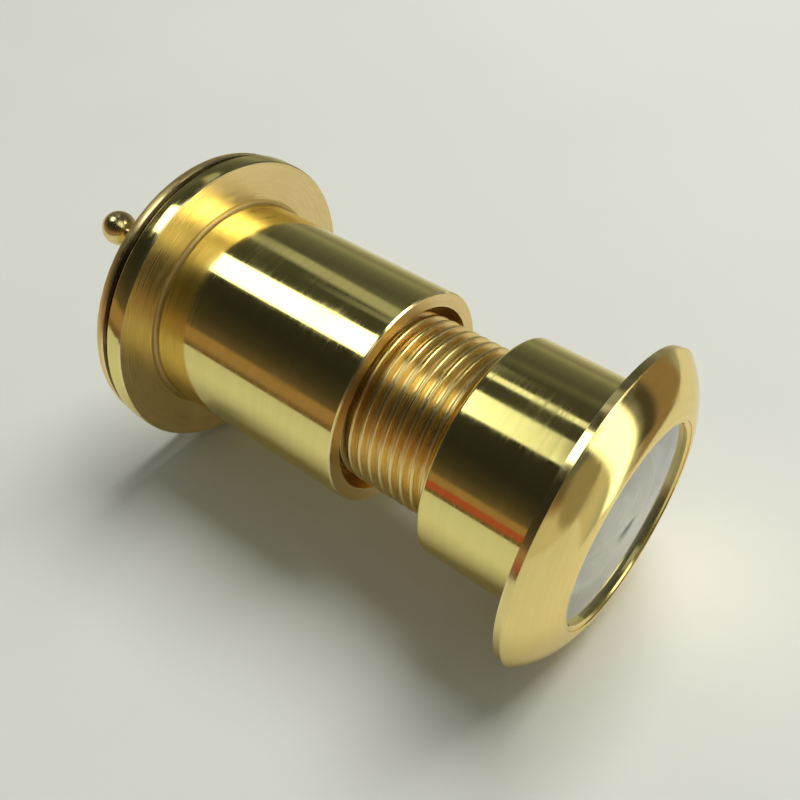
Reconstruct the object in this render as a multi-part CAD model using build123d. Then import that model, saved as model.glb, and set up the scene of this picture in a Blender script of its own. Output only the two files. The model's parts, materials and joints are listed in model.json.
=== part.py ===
from build123d import *
from math import asin, ceil, cos, hypot, radians, sin
import os

# A telescopic brass door viewer. The lens half goes in from the outside of the door, the sleeve half
# screws onto its threaded shank from the room, and a privacy cover swings over the eyepiece.
# Each piece is drawn with the optical axis along Z and the room towards +Z, then laid down so that
# the axis runs along Y. The origin is on the axis, in the plane where the outer flange meets the door.

os.makedirs("parts", exist_ok=True)

# ---- driving dimensions, mm ----
barrel_diameter = 28.0  # outer shoulder and inner sleeve, both fill the hole in the door
flange_diameter = 39.2
cover_diameter = 39.0
thread_diameter = 22.0  # crest of the shank's thread
thread_pitch = 1.5
shoulder_length = 14.1
shank_length = 24.4
exposed_thread = 12.3  # shoulder to sleeve end in the rest position
sleeve_barrel_length = 28.6
inner_flange_thickness = 2.75
lens_opening_diameter = 24.6
knob_turn = 34.0  # degrees round the axis from straight up

running_gap = 0.05  # radial clearance of turned fits and of loose glass
edge_break = 0.2  # small chamfer on turned corners

barrel_radius = barrel_diameter / 2
flange_radius = flange_diameter / 2
cover_radius = cover_diameter / 2

# ---- thread ----
thread_depth = 0.75
thread_clearance = 0.14  # radial play between the two threads
shank_ridge_widths = (1.4, 0.72)  # at the root, and where the flanks turn into the rounded crest
sleeve_ridge_widths = (1.0, 0.36)
flank_share = 0.62  # of the depth
ridge_bite = 0.15  # how far a ridge is sunk into the wall it stands on
ridge_runout = 0.8  # plain wall left at each end of a threaded stretch
thread_root_radius = thread_diameter / 2 - thread_depth
shank_ridge_start = shoulder_length + ridge_runout
shank_end = shoulder_length + shank_length

# ---- outer body, heights from the seating plane ----
rim_width = 0.9  # thin cylindrical edge of the outer flange
lip_height = 4.3
lip_land = 0.5  # flat ring round the opening
dome_bulge = 0.55  # how far the bevel stands out from a straight cone
head_bore_radius = 12.9
head_bore_end = 5.0
lens_bore_radius = 10.2
lens_bore_end = 12.4
shank_bore_radius = 8.6

# ---- lens stack in the outer body ----
opening_radius = lens_opening_diameter / 2
bezel_recess = 0.08
bezel_gap = 0.02
objective_front = -lip_height + 0.75
objective_rear = 3.4
objective_hollow = 7.8
objective_hollow_depth = 5.0
second_front = 5.4
second_rear = 8.4
third_front = 9.5
small_hollow = 7.6
spacer_bore_radius = 9.2

# ---- inner sleeve, heights in the rest position ----
sleeve_end = shoulder_length + exposed_thread
inner_seat = sleeve_end + sleeve_barrel_length
inner_face = inner_seat + inner_flange_thickness
seat_face_radius = 19.4  # flat, door-side face of the inner flange
rim_widest = 2.15  # above the seat
rim_bulge = 0.05
rim_rounding = 0.7  # how far the rim's room-side edge draws in
rim_rounding_bulge = 0.1
root_fillet = 0.4
mouth_radius = 12.2
mouth_depth = 5.0
inner_thread_length = 11.6
sleeve_bore_radius = thread_diameter / 2 + thread_clearance
eyepiece_ledge = inner_face - 6.8
eyepiece_seat = inner_face - 5.8
eyepiece_rim = inner_face - 2.0
eyepiece_bore_radius = 10.2
eyepiece_aperture = 8.6
eyepiece_ring_recess = 0.4
spanner_notch_width = 1.6
spanner_notch_depth = 0.8

# ---- privacy cover, its pivot and its knob ----
cover_under = inner_face + 1.05
cover_top = cover_under + 1.7
cover_edge_bulge = 0.12
cover_shift = 1.1  # the disc's centre lies this far from the axis, towards the pivot
pivot_distance = 16.0
knob_distance = 15.05
rivet_radius = 1.5
rivet_head_radius = 2.7
rivet_head_height = 1.1
rivet_depth = 2.0
head_gap = 0.03  # axial play under the rivet's head and over the spring washer
washer_radius = 3.2
washer_top = inner_face + 0.4
spring_thickness = 0.3
knob_ball_radius = 2.13
knob_centre = cover_top + 4.5
knob_neck_radius = 0.95
knob_collar_radius = 1.6
knob_collar_height = 0.5
knob_tail_radius = 1.0
knob_tail_flare = 1.5


# ---- drawing helpers ----
def laid_down(shape):
    """Turn a piece drawn along Z so that its axis lies along Y."""
    return Rot(X=-90) * shape


def towards_knob(distance, height=0.0):
    """Placement at a distance from the axis, on the knob's side of it."""
    turn = radians(knob_turn)
    return Pos(-distance * sin(turn), -distance * cos(turn), height)


def turned(edges):
    """Solid of revolution about Z inside a closed chain of edges drawn in (radius, height)."""
    return revolve(make_face(Plane.XZ * edges), Axis.Z)


def turned_corners(*corners):
    """Solid of revolution about Z inside straight lines through (radius, height) corners."""
    return turned(Polyline(*corners, close=True))


def ring(inner, outer, low, high):
    """Plain turned ring."""
    return turned_corners((inner, low), (outer, low), (outer, high), (inner, high))


def cap_arc(aperture, edge_height, bow):
    """Arc from the axis to the edge of a spherical cap that rises by bow over its aperture."""
    sphere = (aperture**2 + bow**2) / (2 * bow)
    half_angle = asin(aperture / sphere) / 2
    middle = (sphere * sin(half_angle), edge_height + bow - sphere * (1 - cos(half_angle)))
    return ThreePointArc((0, edge_height + bow), middle, (aperture, edge_height))


def bulged_arc(start, end, bulge):
    """Arc between two points that stands out from its chord by bulge, to the right of the way along it."""
    run, rise = end[0] - start[0], end[1] - start[1]
    length = hypot(run, rise)
    middle = (
        (start[0] + end[0]) / 2 + bulge * rise / length,
        (start[1] + end[1]) / 2 - bulge * run / length,
    )
    return ThreePointArc(start, middle, end)


def lens(radius, front, rear, front_bow, front_aperture, rear_bow, rear_aperture):
    """Lens with a flat ring round each curved face; a bow towards +Z is positive on either face."""
    edges = Curve() + [
        cap_arc(front_aperture, front, front_bow),
        Polyline((front_aperture, front), (radius, front), (radius, rear), (rear_aperture, rear)),
        cap_arc(rear_aperture, rear, rear_bow),
        Line((0, rear + rear_bow), (0, front + front_bow)),
    ]
    return turned(edges)


def thread_ridge(wall_radius, depth, widths, start, length):
    """Right-handed helical ridge on a wall; a negative depth makes it stand inwards."""
    base = wall_radius - (ridge_bite if depth > 0 else -ridge_bite)
    shoulder = wall_radius + flank_share * depth
    root_half, shoulder_half = widths[0] / 2, widths[1] / 2
    outline = Curve() + [
        Polyline(
            (shoulder, shoulder_half), (base, root_half), (base, -root_half), (shoulder, -shoulder_half)
        ),
        ThreePointArc((shoulder, -shoulder_half), (wall_radius + depth, 0), (shoulder, shoulder_half)),
    ]
    path = Helix(thread_pitch, length, wall_radius)
    return Pos(0, 0, start) * sweep(make_face(Plane.XZ * outline), path, is_frenet=True)


# ---- pieces of the outer half ----
def outer_body():
    """Outer flange, plain shoulder and threaded shank, turned in one piece."""
    lip_radius = head_bore_radius + lip_land
    corner = 2 * edge_break
    edges = Curve() + [
        Line((head_bore_radius, -lip_height), (lip_radius, -lip_height)),
        bulged_arc((lip_radius, -lip_height), (flange_radius, -rim_width), dome_bulge),
        Polyline(
            (flange_radius, -rim_width),
            (flange_radius - edge_break / 2, 0),
            (barrel_radius, 0),
            (barrel_radius, shoulder_length - corner),
        ),
        bulged_arc(
            (barrel_radius, shoulder_length - corner),
            (barrel_radius - corner, shoulder_length),
            edge_break / 2,
        ),
        Polyline(
            (barrel_radius - corner, shoulder_length),
            (thread_root_radius, shoulder_length),
            (thread_root_radius, shank_end),
            (shank_bore_radius, shank_end),
            (shank_bore_radius, lens_bore_end),
            (lens_bore_radius, lens_bore_end),
            (lens_bore_radius, head_bore_end),
            (head_bore_radius, head_bore_end),
            (head_bore_radius, -lip_height),
        ),
    ]
    ridge_length = shank_length - 2 * ridge_runout
    return turned(edges) + thread_ridge(
        thread_root_radius, thread_depth, shank_ridge_widths, shank_ridge_start, ridge_length
    )


def objective_bezel():
    """Retaining ring pressed into the front opening over the edge of the front lens."""
    outer = head_bore_radius - bezel_gap
    front = -lip_height + bezel_recess
    return turned_corners(
        (opening_radius, objective_front),
        (outer, objective_front),
        (outer, front),
        (opening_radius + edge_break, front),
        (opening_radius, front + edge_break),
    )


def objective_lens():
    """Large front lens, nearly flat outside and deeply hollowed behind."""
    radius = head_bore_radius - running_gap
    return lens(
        radius, objective_front, objective_rear,
        -0.35, opening_radius, -objective_hollow_depth, objective_hollow,
    )


def objective_spacer():
    """Stepped ring that sits on the head's ledge and bears on the second lens."""
    return turned_corners(
        (spacer_bore_radius, objective_rear),
        (head_bore_radius - running_gap, objective_rear),
        (head_bore_radius - running_gap, head_bore_end),
        (lens_bore_radius - running_gap, head_bore_end),
        (lens_bore_radius - running_gap, second_front),
        (spacer_bore_radius, second_front),
    )


def second_lens():
    """Second diverging lens, flat in front and hollow behind."""
    return lens(
        lens_bore_radius - running_gap, second_front, second_rear,
        -0.3, small_hollow, -2.0, small_hollow,
    )


def lens_spacer():
    """Plain ring between the second and third lenses."""
    return ring(small_hollow + 0.6, lens_bore_radius - running_gap, second_rear, third_front)


def third_lens():
    """Third diverging lens, hollow on both faces, against the ledge at the shank."""
    return lens(
        lens_bore_radius - running_gap, third_front, lens_bore_end,
        0.7, small_hollow, -0.9, small_hollow,
    )


# ---- pieces of the inner half ----
def inner_sleeve():
    """Inner flange and plain barrel, threaded inside, with the eyepiece's seat in the flange."""
    rim_start = (flange_radius - rim_bulge, inner_seat + edge_break)
    rim_corner = (flange_radius - rim_rounding, inner_face)
    edges = Curve() + [
        Polyline(
            (mouth_radius, sleeve_end),
            (barrel_radius - edge_break, sleeve_end),
            (barrel_radius, sleeve_end + edge_break),
            (barrel_radius, inner_seat - root_fillet),
        ),
        bulged_arc(
            (barrel_radius, inner_seat - root_fillet),
            (barrel_radius + root_fillet, inner_seat),
            -0.29 * root_fillet,
        ),
        Polyline((barrel_radius + root_fillet, inner_seat), (seat_face_radius, inner_seat), rim_start),
        bulged_arc(rim_start, (flange_radius, inner_seat + rim_widest), rim_bulge),
        bulged_arc((flange_radius, inner_seat + rim_widest), rim_corner, rim_rounding_bulge),
        Polyline(
            rim_corner,
            (eyepiece_bore_radius, inner_face),
            (eyepiece_bore_radius, eyepiece_seat),
            (eyepiece_aperture, eyepiece_seat),
            (eyepiece_aperture, eyepiece_ledge),
            (sleeve_bore_radius, eyepiece_ledge),
            (sleeve_bore_radius, sleeve_end + mouth_depth),
            (mouth_radius, sleeve_end + mouth_depth),
            (mouth_radius, sleeve_end),
        ),
    ]
    lowest_ridge = sleeve_end + mouth_depth + ridge_runout
    pitches_up = ceil((lowest_ridge - shank_ridge_start) / thread_pitch) + 0.5
    ridge = thread_ridge(
        sleeve_bore_radius, -thread_depth, sleeve_ridge_widths,
        shank_ridge_start + pitches_up * thread_pitch, inner_thread_length - 2 * ridge_runout,
    )
    rivet_hole = towards_knob(-pivot_distance, inner_face - rivet_depth / 2) * Cylinder(
        rivet_radius, rivet_depth
    )
    return turned(edges) + ridge - rivet_hole


def eyepiece_lens():
    """Converging lens the user looks through."""
    return lens(
        eyepiece_bore_radius - running_gap, eyepiece_seat, eyepiece_rim,
        -0.9, eyepiece_aperture - 0.1, 1.1, eyepiece_aperture - 0.3,
    )


def eyepiece_ring():
    """Retaining ring over the eyepiece lens, with two notches for a pin spanner."""
    top = inner_face - eyepiece_ring_recess
    notch = Pos(0, 0, top) * Box(3 * eyepiece_bore_radius, spanner_notch_width, 2 * spanner_notch_depth)
    return ring(eyepiece_aperture - 0.2, eyepiece_bore_radius, eyepiece_rim, top) - notch


# ---- privacy cover and its fittings ----
def privacy_cover():
    """Thin disc over the eyepiece, with its pivot hole and the knob's flared hole."""
    broken = cover_radius - edge_break
    side_radius = cover_radius - cover_edge_bulge
    side_low, side_high = cover_under + edge_break, cover_top - edge_break
    edges = Curve() + [
        Polyline((0, cover_under), (broken, cover_under), (side_radius, side_low)),
        bulged_arc((side_radius, side_low), (side_radius, side_high), cover_edge_bulge),
        Polyline((side_radius, side_high), (broken, cover_top), (0, cover_top), (0, cover_under)),
    ]
    pivot_hole = towards_knob(-pivot_distance) * ring(
        0, rivet_radius + running_gap, cover_under, cover_top
    )
    knob_hole = towards_knob(knob_distance) * knob_tail()
    return towards_knob(-cover_shift) * turned(edges) - pivot_hole - knob_hole


def knob_tail():
    """Tail of the knob in the cover, flared flush on the far side."""
    flare = knob_tail_flare - knob_tail_radius
    return turned_corners(
        (0, cover_under),
        (knob_tail_flare, cover_under),
        (knob_tail_radius, cover_under + flare),
        (knob_tail_radius, cover_top),
        (0, cover_top),
    )


def cover_knob():
    """Ball knob on a short neck and collar, riveted through the cover."""
    collar_top = cover_top + knob_collar_height
    stem = turned_corners(
        (0, cover_top),
        (knob_collar_radius, cover_top),
        (knob_collar_radius, collar_top - edge_break),
        (knob_collar_radius - edge_break, collar_top),
        (knob_neck_radius, collar_top),
        (knob_neck_radius, knob_centre),
        (0, knob_centre),
    )
    ball = Pos(0, 0, knob_centre) * Sphere(knob_ball_radius)
    return towards_knob(knob_distance) * (knob_tail() + stem + ball)


def cover_rivet():
    """Domed rivet the cover turns on, its shank pressed into the inner flange."""
    under_head = cover_top + head_gap
    edges = Curve() + [
        Polyline(
            (0, under_head + rivet_head_height),
            (0, inner_face - rivet_depth),
            (rivet_radius, inner_face - rivet_depth),
            (rivet_radius, under_head),
            (rivet_head_radius, under_head),
        ),
        cap_arc(rivet_head_radius, under_head, rivet_head_height),
    ]
    return towards_knob(-pivot_distance) * turned(edges)


def pivot_washer():
    """Flat washer on the inner flange round the rivet."""
    return towards_knob(-pivot_distance) * ring(
        rivet_radius + running_gap, washer_radius, inner_face, washer_top
    )


def spring_washer():
    """Dished washer that presses the cover against the rivet's head so that it stays where it is put."""
    inner = rivet_radius + running_gap
    top = cover_under - head_gap
    return towards_knob(-pivot_distance) * turned_corners(
        (inner, top - spring_thickness),
        (washer_radius, washer_top),
        (washer_radius, washer_top + spring_thickness),
        (inner, top),
    )


pieces = [
    outer_body, objective_bezel, objective_lens, objective_spacer, second_lens, lens_spacer, third_lens,
    inner_sleeve, eyepiece_lens, eyepiece_ring,
    privacy_cover, cover_knob, cover_rivet, pivot_washer, spring_washer,
]
for piece in pieces:
    export_step(laid_down(piece()), f"parts/{piece.__name__}.step")
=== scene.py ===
import json
from collections import namedtuple
from math import cos, pi, radians, sin

import bpy
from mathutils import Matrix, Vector


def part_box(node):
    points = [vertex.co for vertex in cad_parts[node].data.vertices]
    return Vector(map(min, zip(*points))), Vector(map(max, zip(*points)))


# A brass door viewer lying on a pale table, in a room with strip lights overhead and a window.
# Lengths are in metres; the optical axis runs along Y and the outer lens faces -Y.

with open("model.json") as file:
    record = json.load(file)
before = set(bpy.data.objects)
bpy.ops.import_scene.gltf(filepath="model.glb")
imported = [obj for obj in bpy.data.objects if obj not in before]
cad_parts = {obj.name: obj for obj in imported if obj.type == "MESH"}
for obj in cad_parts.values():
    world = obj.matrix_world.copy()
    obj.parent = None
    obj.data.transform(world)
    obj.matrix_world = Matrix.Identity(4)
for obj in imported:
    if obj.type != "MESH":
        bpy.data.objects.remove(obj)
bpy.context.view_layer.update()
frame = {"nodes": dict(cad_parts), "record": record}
X, Y, Z = 0, 1, 2


# ---- measures taken from the frame ----
def span(node, axis):
    """Lowest and highest coordinate of a CAD node along an axis."""
    low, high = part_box(node)
    return low[axis], high[axis]


def mount(name):
    """A mount of the record, by name."""
    return next(entry for entry in frame["record"]["mounts"] if entry["name"] == name)


lip_front = span("outer_body", Y)[0]
sleeve_end = span("inner_sleeve", Y)[0]
cover_under, cover_top = span("privacy_cover", Y)
flange_radius = span("outer_body", X)[1]
lens_radius = span("objective_lens", X)[1]
lens_front, lens_rear = span("objective_lens", Y)
shank_lens_radius = span("second_lens", X)[1]
barrel_radius = mount("outer_barrel")["dims"]["r_mm"] / 1000
shoulder_rounding = 0.0004  # the shoulder's corner lies this far past the end of its mount
shoulder_end = mount("outer_barrel")["dims"]["length_mm"] / 1000 + shoulder_rounding
mouth_radius = 0.0122  # of the sleeve's open end
rim_top = -0.0008  # where the outer flange's thin edge turns into the bevel
front_hollow_radius = 0.61 * lens_radius  # of the hollows ground into the lenses
inner_hollow_radius = 0.75 * shank_lens_radius
eyepiece_clear_radius = 0.0086
inner_seat = mount("inner_seat")["pos_m"][Y]
cover_centre = [sum(span("privacy_cover", axis)) / 2 for axis in (X, Z)]
cover_bottom = span("privacy_cover", Z)[0]
cover_radius = span("privacy_cover", X)[1] - cover_centre[0]
knob_centre = [sum(span("cover_knob", axis)) / 2 for axis in (X, Z)]


# ---- node helpers ----
class Graph:
    """Short way to add nodes to a tree and join their sockets."""

    def __init__(self, tree):
        self.tree = tree
        tree.nodes.clear()

    def add(self, kind, values=None, **settings):
        """A new node; settings are its properties, values its input sockets by name or number."""
        node = self.tree.nodes.new(kind)
        for name, value in settings.items():
            setattr(node, name, value)
        for name, value in (values or {}).items():
            self.feed(node, name, value)
        return node

    def feed(self, node, socket, value):
        """Join a socket to another node's output, or set its value."""
        if isinstance(value, bpy.types.NodeSocket):
            self.tree.links.new(value, node.inputs[socket])
        elif node.inputs[socket].type == "RGBA" and len(value) == 3:
            node.inputs[socket].default_value = (*value, 1)
        else:
            node.inputs[socket].default_value = value

    def math(self, operation, *operands):
        """Result of a math node."""
        return self.add("ShaderNodeMath", dict(enumerate(operands)), operation=operation).outputs[0]

    def product(self, *factors):
        """Product of two or more values."""
        result = factors[0]
        for factor in factors[1:]:
            result = self.math("MULTIPLY", result, factor)
        return result

    def mix(self, factor, first, second, blend_type="MIX"):
        """Colour between first and second."""
        node = self.add("ShaderNodeMix", data_type="RGBA", blend_type=blend_type)
        for socket, value in ((0, factor), (6, first), (7, second)):
            self.feed(node, socket, value)
        return node.outputs[2]

    def blend(self, factor, first, second):
        """Number between first and second."""
        return self.add("ShaderNodeMix", {0: factor, 2: first, 3: second}, data_type="FLOAT").outputs[0]

    def ramp(self, factor, stops):
        """Colour ramp through (position, colour) stops."""
        node = self.add("ShaderNodeValToRGB", {0: factor})
        elements = node.color_ramp.elements
        while len(elements) < len(stops):
            elements.new(1.0)
        for element, (position, colour) in zip(elements, stops):
            element.position = position
            element.color = (*colour, 1)
        return node.outputs[0]

    def step(self, value, low, high, to_low=0.0, to_high=1.0):
        """Smooth step as value goes from low to high."""
        values = {0: value, 1: low, 2: high, 3: to_low, 4: to_high}
        return self.add("ShaderNodeMapRange", values, interpolation_type="SMOOTHSTEP").outputs[0]

    def band(self, value, low, high, soft):
        """One between low and high, zero outside, with soft edges."""
        rise = self.step(value, low - soft, low + soft)
        fall = self.step(value, high - soft, high + soft, 1.0, 0.0)
        return self.product(rise, fall)

    def noise(self, vector, scale, detail=2.0, roughness=0.5):
        """Noise between nought and one."""
        values = {"Vector": vector, "Scale": scale, "Detail": detail, "Roughness": roughness}
        return self.add("ShaderNodeTexNoise", values).outputs[0]

    def split(self, vector):
        """The three coordinates of a vector."""
        return self.add("ShaderNodeSeparateXYZ", {0: vector}).outputs

    def join(self, x, y, z):
        """Vector from three coordinates."""
        return self.add("ShaderNodeCombineXYZ", {0: x, 1: y, 2: z}).outputs[0]

    def even_grey(self, level):
        """Grey whose level is another node's output."""
        return self.join(level, level, level)


def grey(level):
    """Neutral colour."""
    return (level, level, level)


def new_material(name):
    """A material with an empty node tree, and its graph."""
    material = bpy.data.materials.new(name)
    material.use_nodes = True
    return material, Graph(material.node_tree)


def dress(node, material):
    """Give a CAD node a material."""
    mesh = frame["nodes"][node].data
    mesh.materials.clear()
    mesh.materials.append(material)


# ---- coordinates of a turned piece ----
profile_slant = 1.37  # weight of the radius in the coordinate that runs along a piece's outline
Lathe = namedtuple("Lathe", "place radius height direction profile")


def lathe(g, centre=(0.0, 0.0)):
    """Position in a turned piece, in mm: radius from its axis, height along it, direction round it."""
    place = g.add("ShaderNodeTexCoord").outputs["Object"]
    in_mm = g.add("ShaderNodeVectorMath", {0: place, "Scale": 1000.0}, operation="SCALE").outputs[0]
    x, y, z = g.split(in_mm)
    x = g.math("SUBTRACT", x, centre[0] * 1000)
    z = g.math("SUBTRACT", z, centre[1] * 1000)
    radius = g.math("SQRT", g.math("ADD", g.math("MULTIPLY", x, x), g.math("MULTIPLY", z, z)))
    away = g.math("MAXIMUM", radius, 0.01)
    direction = (g.math("DIVIDE", x, away), g.math("DIVIDE", z, away))
    profile = g.math("ADD", y, g.math("MULTIPLY", radius, profile_slant))
    return Lathe(g.join(x, y, z), radius, y, direction, profile)


def turning_marks(g, at, fineness, wander):
    """Fine lines that run round the axis: fineness per mm across them, wander along them."""
    across = g.math("MULTIPLY", at.profile, fineness)
    sideways = g.math("MULTIPLY", at.direction[0], wander)
    upward = g.math("MULTIPLY", at.direction[1], wander)
    return g.noise(g.join(sideways, across, upward), 1.0, detail=3.0, roughness=0.6)


def specks(g, at, spacing, size, share):
    """Small round spots in a share of the cells of a grid of the given spacing."""
    cells = g.add("ShaderNodeTexVoronoi", {"Vector": at.place, "Scale": 1 / spacing})
    spot = g.step(cells.outputs["Distance"], size, size * 1.6, 1.0, 0.0)
    chance = g.split(cells.outputs["Color"])[0]
    return g.product(spot, g.math("LESS_THAN", chance, share))


# ---- brass ----
# A finish has its colour and roughness, the roughness that fine marks add, and how deep they are.
Finish = namedtuple("Finish", "colour roughness spread marks")
mark_height = 0.6e-6  # metres, of marks with depth 1

polished = Finish((0.90, 0.775, 0.29), 0.06, 0.09, 0.2)
warm = Finish((0.92, 0.74, 0.30), 0.05, 0.08, 0.06)
buffed = Finish((0.90, 0.73, 0.31), 0.10, 0.14, 0.6)
brushed = Finish((0.83, 0.64, 0.32), 0.26, 0.26, 1.6)
shaded = Finish((0.57, 0.42, 0.17), 0.45, 0.16, 1.5)
cut = Finish((0.93, 0.71, 0.30), 0.22, 0.16, 1.5)
turned = Finish((0.80, 0.66, 0.28), 0.11, 0.13, 1.3)
dull = Finish((0.98, 0.74, 0.33), 0.36, 0.20, 3.0)
# painted shade: near-black brown that stands for the shadow in the gap under the cover
painted_gap_shade = Finish((0.15, 0.095, 0.04), 0.36, 0.10, 1.2)
bore = Finish((0.84, 0.62, 0.29), 0.28, 0.12, 1.2)
handled = Finish((0.88, 0.72, 0.34), 0.20, 0.08, 0.06)
# lighter brass of worn edges, also used for a painted highlight line on the cover's side
rubbed_and_highlight = Finish((0.95, 0.82, 0.46), 0.13, 0.14, 1.0)


def brass(name, base, zones=(), centre=(0.0, 0.0), smudge=0.05):
    """Brass with a base finish and other finishes in zones, each a function of graph and place."""
    material, g = new_material(name)
    at = lathe(g, centre)
    colour, roughness, spread, marks = base.colour, base.roughness, base.spread, base.marks
    for inside, finish in zones:
        mask = inside(g, at)
        colour = g.mix(mask, colour, finish.colour)
        roughness = g.blend(mask, roughness, finish.roughness)
        spread = g.blend(mask, spread, finish.spread)
        marks = g.blend(mask, marks, finish.marks)

    fine = turning_marks(g, at, fineness=5.0, wander=1.6)
    coarse = turning_marks(g, at, fineness=1.3, wander=1.0)
    cloud = g.noise(at.place, 0.16, detail=3.0)
    dust = specks(g, at, spacing=2.6, size=0.03, share=0.10)

    # fine marks and smudges both make the polish duller
    worn = g.product(g.step(fine, 0.35, 0.75), spread)
    smeared = g.product(g.step(cloud, 0.45, 0.75), smudge)
    matt = g.math("ADD", roughness, g.math("ADD", worn, smeared))

    # a warmer, darker film in places, and a tint that follows the coarse marks
    film = g.step(g.noise(at.place, 0.33, detail=4.0), 0.45, 0.8, 0.0, 0.2)
    colour = g.mix(film, colour, (0.80, 0.60, 0.24))
    tint = g.step(coarse, 0.3, 0.7, 0.95, 1.0)
    colour = g.mix(1.0, colour, g.even_grey(tint), "MULTIPLY")

    relief = g.product(g.math("ADD", fine, g.product(coarse, 1.6)), marks)
    bump = g.add("ShaderNodeBump", {"Height": relief, "Distance": mark_height})
    tangent = g.add("ShaderNodeTangent", direction_type="RADIAL", axis="Y")
    metal = g.add("ShaderNodeBsdfPrincipled", {
        "Base Color": colour,
        "Metallic": 1.0,
        "Roughness": matt,
        "Specular Tint": (1.0, 0.93, 0.76),
        "Anisotropic": 0.4,
        "Anisotropic Rotation": 0.25,
        "Tangent": tangent.outputs[0],
        "Normal": bump.outputs[0],
    })
    grit = g.add("ShaderNodeBsdfDiffuse", {"Color": (0.62, 0.58, 0.48)})
    dusty = g.product(dust, 0.7)
    surface = g.add("ShaderNodeMixShader", {0: dusty, 1: metal.outputs[0], 2: grit.outputs[0]})
    g.add("ShaderNodeOutputMaterial", {"Surface": surface.outputs[0]})
    return material


# ---- zones of the turned pieces ----
# Radii and heights are given in metres, and compared with the lathe's millimetres.
zone_blur = 0.05  # mm, half the width of a zone's soft edge


def beyond(height):
    """Everything on the room's side of a height."""
    return lambda g, at: g.step(at.height, height * 1000 - zone_blur, height * 1000 + zone_blur)


def short_of(height):
    """Everything on the door's side of a height."""
    return lambda g, at: g.step(at.height, height * 1000 - zone_blur, height * 1000 + zone_blur, 1.0, 0.0)


def within(radius):
    """Everything closer to the axis than a radius."""
    return lambda g, at: g.step(at.radius, radius * 1000 - zone_blur, radius * 1000 + zone_blur, 1.0, 0.0)


def outside(radius):
    """Everything further from the axis than a radius."""
    return lambda g, at: g.step(at.radius, radius * 1000 - zone_blur, radius * 1000 + zone_blur)


def ring_face(height, inner, outer):
    """Flat ring at a height, between two radii."""
    def inside(g, at):
        level = g.band(at.height, height * 1000 - zone_blur, height * 1000 + zone_blur, 0.03)
        return g.product(level, g.band(at.radius, inner * 1000, outer * 1000, zone_blur))
    return inside


def overlap(*zones):
    """Where all the given zones meet."""
    return lambda g, at: g.product(*[zone(g, at) for zone in zones])


def corner(radius, height):
    """Strip, uneven in width, along a turned corner; it marks worn edges, and on the cover's side a
    painted highlight line.
    """
    def inside(g, at):
        sideways = g.math("SUBTRACT", at.radius, radius * 1000)
        upward = g.math("SUBTRACT", at.height, height * 1000)
        squares = g.math("ADD", g.product(sideways, sideways), g.product(upward, upward))
        uneven = g.product(g.noise(at.place, 1.1, detail=3.0), 0.5)
        return g.step(g.math("ADD", g.math("SQRT", squares), uneven), 0.30, 0.62, 0.8, 0.0)
    return inside


# ---- glass ----
polished_edge = 0.6  # mm of a lens's edge, behind its front face, that stays clear


def glass(name, tint, hollow_radius, front):
    """Clear glass, ground matt on the flat ring and the edge behind its front face."""
    material, g = new_material(name)
    at = lathe(g)
    ring_start = hollow_radius * 1000
    edge_start = front * 1000 + polished_edge
    outside_hollow = g.step(at.radius, ring_start, ring_start + 0.1)
    behind_front = g.step(at.height, edge_start, edge_start + 0.2)
    ground = g.product(outside_hollow, behind_front)
    grain = g.noise(at.place, 9.0, detail=3.0)
    smear = g.noise(at.place, 0.25, detail=3.0)
    polish = g.step(smear, 0.4, 0.8, 0.09, 0.15)
    bump = g.add("ShaderNodeBump", {"Height": g.product(grain, ground), "Distance": 4.0e-6})
    clear = g.add("ShaderNodeBsdfPrincipled", {
        "Base Color": tint,
        "Roughness": g.blend(ground, polish, 0.45),
        "IOR": 1.52,
        "Transmission Weight": 1.0,
        "Coat Weight": g.math("SUBTRACT", 1.0, ground),
        "Coat Roughness": 0.02,
        "Normal": bump.outputs[0],
    })
    frost = g.add("ShaderNodeBsdfTranslucent", {"Color": (0.78, 0.82, 0.70)})
    haze = g.add("ShaderNodeBsdfDiffuse", {"Color": (0.72, 0.76, 0.64)})
    matt = g.add("ShaderNodeMixShader", {0: 0.6, 1: frost.outputs[0], 2: haze.outputs[0]})
    film = g.step(smear, 0.35, 0.75, 0.13, 0.22)
    clouded = g.blend(ground, film, 0.7)
    surface = g.add("ShaderNodeMixShader", {0: clouded, 1: clear.outputs[0], 2: matt.outputs[0]})
    g.add("ShaderNodeOutputMaterial", {"Surface": surface.outputs[0]})
    return material


# ---- white metal ----
def white_metal(name, colour, roughness, mark_depth):
    """Steel or aluminium with turning marks."""
    material, g = new_material(name)
    at = lathe(g)
    darker = [0.8 * part for part in colour]
    fine = turning_marks(g, at, fineness=4.0, wander=1.0)
    cloud = g.noise(at.place, 0.5, detail=3.0)
    bump = g.add("ShaderNodeBump", {"Height": fine, "Distance": mark_depth})
    metal = g.add("ShaderNodeBsdfPrincipled", {
        "Base Color": g.mix(g.step(cloud, 0.4, 0.8, 0.0, 0.4), colour, darker),
        "Metallic": 1.0,
        "Roughness": g.step(fine, 0.3, 0.7, roughness, roughness + 0.15),
        "Normal": bump.outputs[0],
    })
    g.add("ShaderNodeOutputMaterial", {"Surface": metal.outputs[0]})
    return material


# ---- which piece wears what ----
behind_edge = 0.0001  # a bore's finish starts this far behind the piece's edge
beside_edge = 0.0003  # and reaches this far outside its wall
root_width = 0.0006  # of the fillet between the inner flange and its barrel, with a margin
shank_step = 0.0005  # the thread lies at least this far inside the barrel's radius
rim_depth = 0.0002  # how deep the finish of the outer flange's thin edge goes
cover_side_depth = 0.00025
gap_shade_reach = 0.0004  # how far the painted shade of the gap under the cover reaches up the cover's side
highlight_line_offset = 0.0001  # from there to the painted highlight line above it


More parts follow.
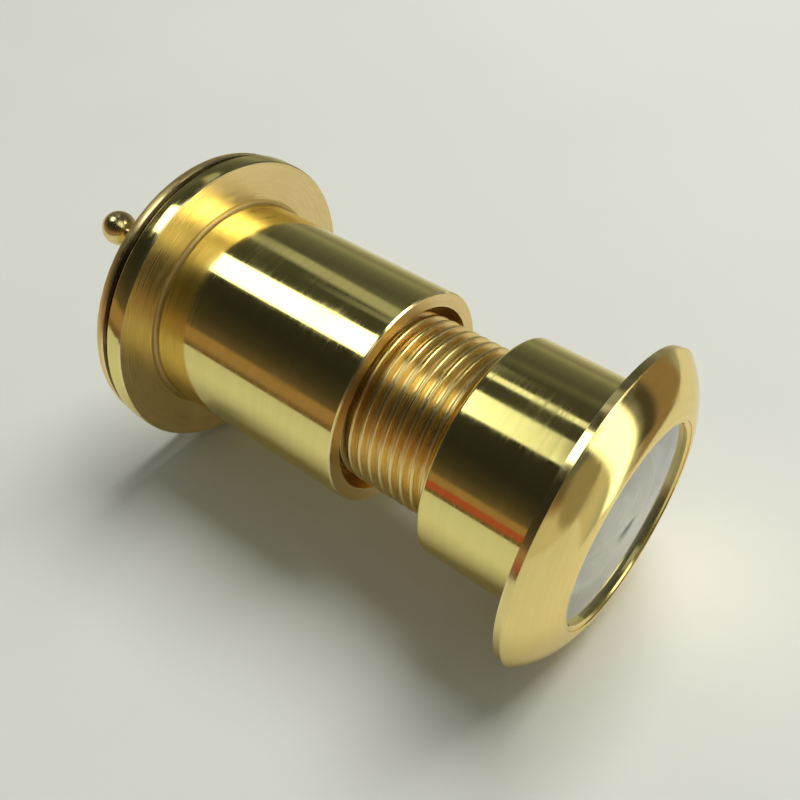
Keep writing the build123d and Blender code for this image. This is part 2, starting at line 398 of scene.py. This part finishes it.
def dress_inner_sleeve():
    """Polished barrel and rim, brushed faces and a shaded root."""
    end_face = ring_face(sleeve_end, mouth_radius, barrel_radius)
    wall = within(mouth_radius + beside_edge)
    mouth = overlap(wall, beyond(sleeve_end + behind_edge), short_of(inner_seat))
    seat = ring_face(inner_seat, barrel_radius, flange_radius)
    at_seat = overlap(beyond(inner_seat - root_width), short_of(inner_seat + root_width))
    root = overlap(at_seat, within(barrel_radius + root_width))
    worn_end = corner(barrel_radius, sleeve_end)
    worn_seat = corner(flange_radius, inner_seat)
    dress("inner_sleeve", brass("polished_brass_inner", polished, [
        (seat, brushed), (root, shaded), (end_face, brushed), (mouth, bore),
        (worn_end, rubbed_and_highlight), (worn_seat, rubbed_and_highlight),
    ], smudge=0.08))


def dress_outer_body():
    """Warm polished head, buffed rim, brushed back face and a cut thread."""
    shank = overlap(within(barrel_radius - shank_step), beyond(shoulder_end - behind_edge))
    head_bore = overlap(within(lens_radius + beside_edge), beyond(lip_front + behind_edge))
    back_face = ring_face(0.0, barrel_radius, flange_radius)
    head = short_of(rim_top)
    rim = outside(flange_radius - rim_depth)
    worn_rim = corner(flange_radius, 0.0)
    worn_shoulder = corner(barrel_radius, shoulder_end)
    dress("outer_body", brass("polished_brass_outer", polished, [
        (head, warm), (back_face, brushed), (rim, buffed), (head_bore, bore), (shank, cut),
        (worn_rim, rubbed_and_highlight), (worn_shoulder, rubbed_and_highlight),
    ], smudge=0.11))


def dress_cover():
    """Buffed disc with a dull side, its underside and the bottom of its side painted dark as shade in the
    gap, a painted highlight line above that, and its knob and rivet.
    """
    side = outside(cover_radius - cover_side_depth)
    gap_shade_line = cover_under + gap_shade_reach
    worn_edge = corner(cover_radius, cover_top)
    # painted highlight: a light line on the cover's side just above the painted shade of the gap
    painted_highlight_line = corner(cover_radius, gap_shade_line + highlight_line_offset)
    # the underside and the bottom of the side are painted dark as the shade in the gap under the cover
    dress("privacy_cover", brass("cover_brass", buffed, [
        (side, dull), (worn_edge, rubbed_and_highlight), (painted_highlight_line, rubbed_and_highlight), (short_of(gap_shade_line), painted_gap_shade),
    ], cover_centre))
    dress("cover_knob", brass("knob_brass", handled, centre=knob_centre))
    dress("cover_rivet", brass("rivet_brass", buffed))


def dress_rings():
    """Brass retaining rings, steel washers and matt spacers."""
    dress("objective_bezel", brass("bezel_brass", turned))
    dress("eyepiece_ring", brass("ring_brass", turned))
    steel = white_metal("washer_steel", (0.60, 0.60, 0.58), 0.28, 0.6e-6)
    dress("pivot_washer", steel)
    dress("spring_washer", steel)
    spacer = white_metal("spacer_metal", (0.84, 0.88, 0.78), 0.45, 0.3e-6)
    dress("objective_spacer", spacer)
    dress("lens_spacer", spacer)


def dress_lenses():
    """Four lenses, ground round their hollows."""
    dress("objective_lens", glass("front_glass", (0.93, 0.97, 0.90), front_hollow_radius, lens_front))
    inner_glass = glass("inner_glass", (0.94, 0.97, 0.92), inner_hollow_radius, lens_rear)
    dress("second_lens", inner_glass)
    dress("third_lens", inner_glass)
    eyepiece_front = span("eyepiece_lens", Y)[0]
    eyepiece_glass = glass("eyepiece_glass", (0.95, 0.97, 0.96), eyepiece_clear_radius, eyepiece_front)
    dress("eyepiece_lens", eyepiece_glass)


# ---- table ----
table_left = 0.115  # edges of the table as the brass mirrors it
table_front = 0.10
table_corner = 0.036  # the front edge is cut back this close on the window's side
table_dim = (0.03, 0.13)  # it grows dim between these distances towards the far right
table_fade = (0.17, 0.42)  # for the camera it fades out between these distances from the viewer
table_reach = 1.5  # half the side of the sheet that carries it
edge_blur = 0.004


def table_laminate():
    """Pale laminate. Reflections see the table's real size; for the camera it fades into the backdrop."""
    material, g = new_material("table_laminate")
    place = g.add("ShaderNodeTexCoord").outputs["Object"]
    x, y, _ = g.split(place)
    cloud = g.noise(place, 14.0, detail=3.0)
    grain = g.noise(place, 900.0)
    colour = g.mix(g.step(cloud, 0.3, 0.7), (0.70, 0.715, 0.665), (0.72, 0.73, 0.68))
    bump = g.add("ShaderNodeBump", {"Height": grain, "Distance": 4.0e-6})
    top = g.add("ShaderNodeBsdfPrincipled", {
        "Base Color": colour,
        "Roughness": g.step(cloud, 0.3, 0.7, 0.55, 0.62),
        "Specular IOR Level": 0.2,
        "Normal": bump.outputs[0],
    })
    left_edge = g.step(x, -table_left, -table_left - edge_blur)
    front_edge = g.step(y, -table_front, -table_front - edge_blur)
    cut_back = g.step(y, -table_corner, -table_corner - edge_blur)
    cut_corner = g.product(g.step(x, 0.0, edge_blur), cut_back)
    far_right = g.product(g.step(x, *table_dim), g.step(y, -0.02, 0.03))
    sides = g.math("MAXIMUM", left_edge, far_right)
    off_table = g.math("MAXIMUM", sides, g.math("MAXIMUM", front_edge, cut_corner))
    distance = g.add("ShaderNodeVectorMath", {0: place}, operation="LENGTH").outputs["Value"]
    seen = g.add("ShaderNodeLightPath").outputs["Is Camera Ray"]
    gone = g.add("ShaderNodeBsdfTransparent")
    cut_off = g.blend(seen, off_table, g.step(distance, *table_fade))
    surface = g.add("ShaderNodeMixShader", {0: cut_off, 1: top.outputs[0], 2: gone.outputs[0]})
    g.add("ShaderNodeOutputMaterial", {"Surface": surface.outputs[0]})
    return material


def add_table():
    """Table top that touches the outer flange and the cover's rim."""
    rise = (cover_bottom + flange_radius) / cover_under
    corners = [(-table_reach, -table_reach), (table_reach, -table_reach)]
    corners += [(table_reach, table_reach), (-table_reach, table_reach)]
    mesh = bpy.data.meshes.new("table_top")
    mesh.from_pydata([(x, y, -flange_radius + rise * y) for x, y in corners], [], [(0, 1, 2, 3)])
    mesh.materials.append(table_laminate())
    table = bpy.data.objects.new("table_top", mesh)
    bpy.context.scene.collection.objects.link(table)


# ---- room and lights ----
backdrop_level = 0.70  # what the camera sees behind the table
fill_level = 0.22  # even light from all round


def mirrored_room(g):
    """Colour of the room in every direction, as the brass mirrors it."""
    x, y, z = g.split(g.add("ShaderNodeTexCoord").outputs["Generated"])
    height = g.math("MULTIPLY_ADD", z, 0.5, 0.5)
    bearing = g.math("MULTIPLY", g.math("ARCTAN2", x, g.math("MULTIPLY", y, -1.0)), 180 / pi)
    above = g.math("MAXIMUM", z, 0.05)
    across, along = g.math("DIVIDE", x, above), g.math("DIVIDE", y, above)

    pale_side = g.ramp(height, [
        (0.32, grey(0.44)), (0.39, grey(0.36)), (0.465, grey(0.22)), (0.535, grey(0.28)),
        (0.61, grey(0.16)), (0.69, grey(0.11)),
        (0.76, grey(0.08)), (0.81, grey(0.12)), (0.86, grey(0.06)), (1.0, grey(0.05)),
    ])
    brown_side = g.ramp(height, [
        (0.42, (0.16, 0.10, 0.06)), (0.46, (0.33, 0.20, 0.12)), (0.535, (0.33, 0.20, 0.11)),
        (0.56, (0.12, 0.085, 0.06)), (0.66, (0.05, 0.04, 0.03)), (0.78, grey(0.022)), (1.0, grey(0.03)),
    ])
    colour = g.mix(g.step(x, -0.2, 0.05), brown_side, pale_side)

    def patch(colour, paint, left, right, low, high, blur=3):
        """Paint a range of bearings from -Y towards +X, in degrees, between two heights."""
        there = g.product(g.band(bearing, left, right, blur), g.band(z, low, high, blur / 60))
        return g.mix(there, colour, paint)

    # in front of the outer lens, from right to left: a brown wall, a dark corner and a pale wall
    colour = patch(colour, (0.27, 0.19, 0.13), 43, 68, -0.6, 0.25)
    colour = patch(colour, (0.07, 0.06, 0.05), 39, 48, -0.40, 0.25)
    colour = patch(colour, (0.58, 0.54, 0.46), -42, 23, -0.6, 0.03)

    # somebody's brown shape against the pale wall, an oval in bearing and height
    oval_bearing, oval_height, oval_width, oval_rise = 3, -0.01, 13, 0.25
    sideways = g.math("MULTIPLY_ADD", bearing, 1 / oval_width, -oval_bearing / oval_width)
    upward = g.math("MULTIPLY_ADD", z, 1 / oval_rise, -oval_height / oval_rise)
    distance = g.math("SQRT", g.math("ADD", g.product(sideways, sideways), g.product(upward, upward)))
    colour = g.mix(g.step(distance, 0.88, 1.12, 1.0, 0.0), colour, (0.29, 0.25, 0.18))

    # a tall leaning window
    right_side = g.step(g.math("MULTIPLY_ADD", z, 6.0, bearing), 32.0, 37.0, 1.0, 0.0)
    left_side = g.step(g.math("MULTIPLY_ADD", z, 26.0, bearing), 15.0, 20.0)
    window = g.product(left_side, right_side, g.band(z, -0.6, 0.36, 0.06))
    colour = g.mix(window, colour, (2.5, 2.55, 2.3))

    # a bright panel above it, and a small red patch low down at the side
    colour = patch(colour, (8.0, 7.8, 7.0), 22, 47, 0.38, 0.70, blur=5)
    colour = patch(colour, (0.38, 0.08, 0.05), -117, -103, -0.155, -0.035, blur=1)

    # overhead: a bright strip that fades towards the lens, a short second strip and a soft band
    overhead = g.step(z, 0.2, 0.3)
    strip = g.product(overhead, g.band(across, -0.39, 0.04, 0.025), g.band(along, 0.29, 0.87, 0.02))
    strip_level = g.step(along, 0.36, 0.56, 1.1, 4.0)
    far_strip = g.product(overhead, g.band(across, -0.42, 0.15, 0.08), g.band(along, -1.6, -0.25, 0.10))
    short = g.product(overhead, g.band(across, 0.34, 0.46, 0.025), g.band(along, 0.28, 0.68, 0.04))
    short_level = g.step(along, 0.44, 0.58, 1.2, 0.2)
    leaning = g.math("MULTIPLY_ADD", along, -0.5, g.math("ADD", across, 0.3))
    soft = g.product(overhead, g.band(leaning, 0.50, 0.80, 0.06), g.band(along, 0.5, 1.05, 0.10))
    colour = g.mix(soft, colour, grey(0.40))
    colour = g.mix(far_strip, colour, grey(1.2))
    colour = g.mix(short, colour, g.even_grey(short_level))
    colour = g.mix(strip, colour, g.even_grey(strip_level))
    return g.mix(1.0, colour, (0.97, 1.0, 0.90), "MULTIPLY")


def add_room():
    """World: the mirrored room for reflections, and an even pale surround for everything else."""
    world = bpy.data.worlds.new("room")
    bpy.context.scene.world = world
    world.use_nodes = True
    g = Graph(world.node_tree)
    room = mirrored_room(g)
    path = g.add("ShaderNodeLightPath")
    through_glass = path.outputs["Is Transmission Ray"]
    mirrored = g.product(path.outputs["Is Glossy Ray"], g.math("SUBTRACT", 1.0, through_glass))
    level = g.blend(path.outputs["Is Camera Ray"], fill_level, backdrop_level)
    even = g.mix(1.0, g.even_grey(level), (0.985, 1.0, 0.92), "MULTIPLY")
    behind_glass = g.mix(0.35, (1.12, 1.25, 0.98), room)
    light = g.add("ShaderNodeBackground", {
        "Color": g.mix(mirrored, g.mix(through_glass, even, behind_glass), room),
    })
    g.add("ShaderNodeOutputWorld", {"Surface": light.outputs[0]})


def add_lamp(name, place, aim, size, power, colour):
    """Soft lamp that lights the table but isn't mirrored in the brass."""
    light = bpy.data.lights.new(name, "AREA")
    light.size = size
    light.energy = power
    light.color = colour
    lamp = bpy.data.objects.new(name, light)
    lamp.location = place
    lamp.rotation_euler = (Vector(place) - Vector(aim)).to_track_quat("Z", "Y").to_euler()
    lamp.visible_glossy = False
    lamp.visible_transmission = False
    bpy.context.scene.collection.objects.link(lamp)


def add_lamps():
    """Key light high on the right, and the warm glow the bevel throws on the table."""
    bearing, elevation, distance = radians(95), radians(64), 0.8
    away = Vector((sin(bearing) * cos(elevation), cos(bearing) * cos(elevation), sin(elevation)))
    middle = Vector((0, sleeve_end, 0))
    key_place = middle + distance * away
    add_lamp("key", key_place, middle, size=0.5, power=6.0, colour=(1.0, 0.995, 0.965))
    bevel = Vector((0.6 * flange_radius, 2.2 * lip_front, -0.1 * flange_radius))
    lit_spot = bevel + Vector((0.010, -0.008, -flange_radius))
    add_lamp("glow", bevel, lit_spot, size=0.010, power=0.0008, colour=(1.0, 0.80, 0.64))


def add_camera():
    """Camera above the sleeve's side of the outer lens."""
    azimuth, elevation, distance = radians(-51.38), radians(45.55), 0.1189
    aim = Vector((-0.0005, sleeve_end + 0.0005, 0))
    away = Vector((sin(azimuth) * cos(elevation), -cos(azimuth) * cos(elevation), sin(elevation)))
    data = bpy.data.cameras.new("camera")
    data.sensor_width = 36.0
    data.lens = 44.42
    data.clip_start = 0.001
    camera = bpy.data.objects.new("camera", data)
    camera.location = aim + distance * away
    camera.rotation_euler = away.to_track_quat("Z", "Y").to_euler()
    bpy.context.scene.collection.objects.link(camera)
    bpy.context.scene.camera = camera


dress_inner_sleeve()
dress_outer_body()
dress_cover()
dress_rings()
dress_lenses()
add_table()
add_room()
add_lamps()
add_camera()
bpy.context.scene.view_settings.view_transform = "Standard"
